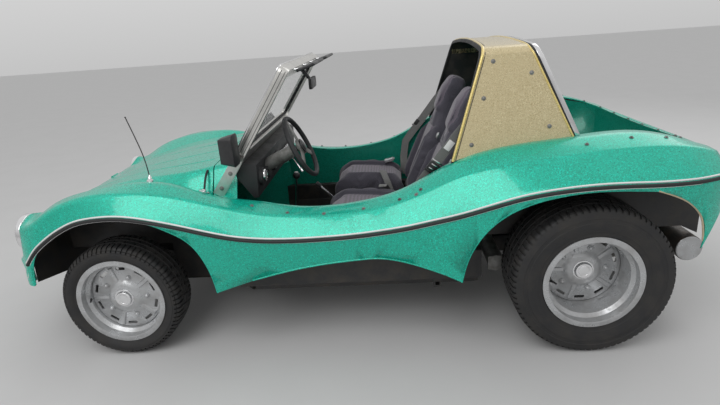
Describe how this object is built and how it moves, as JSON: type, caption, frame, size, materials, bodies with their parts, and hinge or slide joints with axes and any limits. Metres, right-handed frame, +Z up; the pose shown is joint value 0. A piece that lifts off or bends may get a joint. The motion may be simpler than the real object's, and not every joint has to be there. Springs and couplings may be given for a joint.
{
  "type": "dune buggy",
  "caption": "Open two-seat dune buggy with a moulded flake body, roof hoop, fold-forward front lid, rear engine, steered front wheels and wide rear wheels.",
  "frame": {"origin": "on the ground under the middle of the car, halfway between the axles and on its centre plane", "axes": "+X forward along the car, +Y to the car's left, +Z up"},
  "size_m": [3.28, 1.7188, 1.313],
  "materials": {
    "green_flake": "fibreglass in clear coated turquoise green metal flake",
    "inner_green": "fibreglass inner walls in dull green",
    "gold_flake": "clear coated gold metal flake",
    "stainless": "brushed stainless",
    "chrome": "polished",
    "clear_glass": "clear",
    "tinted_glass": "dark tint",
    "lamp_glass": "fluted lamp glass",
    "amber_lens": "amber lens",
    "red_lens": "red lens",
    "dark_trim": "dark crackle trim",
    "black_plastic": "satin black",
    "black_rubber": "black rubber",
    "seat_fabric": "woven cloth",
    "belt_webbing": "grey webbing",
    "chassis_black": "satin chassis black",
    "cast_metal": "rough cast",
    "exhaust_steel": "dull steel",
    "rim_silver": "silver wheel enamel",
    "tyre_rubber": "black tyre rubber"
  },
  "bodies": {
    "chassis": {"antenna": "chrome", "body_tub": "green_flake", "dashboard": "dark_trim", "door_mirror": "black_plastic", "engine": "cast_metal", "exhaust": "exhaust_steel", "floorpan": "chassis_black", "front_beam": "chassis_black", "front_indicators": "amber_lens", "fuel_tank": "chassis_black", "gearbox": "cast_metal", "hand_levers": "black_plastic", "headlamp_lenses": "lamp_glass", "hoop_chrome": "chrome", "hoop_seals": "black_rubber", "inner_mirror": "black_plastic", "inner_tub": "inner_green", "lamp_bezels": "chrome", "lid_latches": "chrome", "pedals": "chassis_black", "rear_axle": "cast_metal", "rear_window": "tinted_glass", "roof_hoop": "gold_flake", "seat_backs": "seat_fabric", "seat_belts": "belt_webbing", "seat_cushions": "seat_fabric", "seat_runners": "chassis_black", "side_sills": "chassis_black", "steering_column": "black_plastic", "sun_visors": "dark_trim", "tail_lamps": "red_lens", "windscreen_frame": "stainless", "windscreen_glass": "clear_glass"},
    "lid": {"front_lid": "green_flake"},
    "steering": {"steering_wheel": "black_plastic"},
    "knuckle_left": {"knuckle_left": "cast_metal"},
    "knuckle_right": {"knuckle_right": "cast_metal"},
    "wheel_front_left": {"front_rim_left": "rim_silver", "front_tyre_left": "tyre_rubber"},
    "wheel_front_right": {"front_rim_right": "rim_silver", "front_tyre_right": "tyre_rubber"},
    "wheel_rear_left": {"rear_rim_left": "rim_silver", "rear_tyre_left": "tyre_rubber"},
    "wheel_rear_right": {"rear_rim_right": "rim_silver", "rear_tyre_right": "tyre_rubber"}
  },
  "joints": [
    {"name": "lid_hinge", "type": "hinge", "parent": "chassis", "child": "lid", "pos_m": [1.466, 0, 0.648], "axis": [0, 1, 0], "range_deg": [0, 55]},
    {"name": "steer_left", "type": "hinge", "parent": "chassis", "child": "knuckle_left", "pos_m": [1.05, 0.53, 0.28], "axis": [0, 0, 1], "range_deg": [-28, 28]},
    {"name": "steer_right", "type": "hinge", "parent": "chassis", "child": "knuckle_right", "pos_m": [1.05, -0.53, 0.28], "axis": [0, 0, 1], "range_deg": [-28, 28]},
    {"name": "steering_turn", "type": "hinge", "parent": "chassis", "child": "steering", "pos_m": [0.2, 0.3, 0.877], "axis": [-0.91, 0, 0.4147], "range_deg": [-400, 400]},
    {"name": "spin_front_left", "type": "hinge", "parent": "knuckle_left", "child": "wheel_front_left", "pos_m": [1.05, 0.63, 0.28], "axis": [0, 1, 0], "continuous": true},
    {"name": "spin_front_right", "type": "hinge", "parent": "knuckle_right", "child": "wheel_front_right", "pos_m": [1.05, -0.63, 0.28], "axis": [0, 1, 0], "continuous": true},
    {"name": "spin_rear_left", "type": "hinge", "parent": "chassis", "child": "wheel_rear_left", "pos_m": [-1.05, 0.68, 0.335], "axis": [0, 1, 0], "continuous": true},
    {"name": "spin_rear_right", "type": "hinge", "parent": "chassis", "child": "wheel_rear_right", "pos_m": [-1.05, -0.68, 0.335], "axis": [0, 1, 0], "continuous": true}
  ],
  "couplings": [
    {"joint": "steer_right", "follows": "steer_left", "ratio": 1},
    {"joint": "steering_turn", "follows": "steer_left", "ratio": 14}
  ]
}
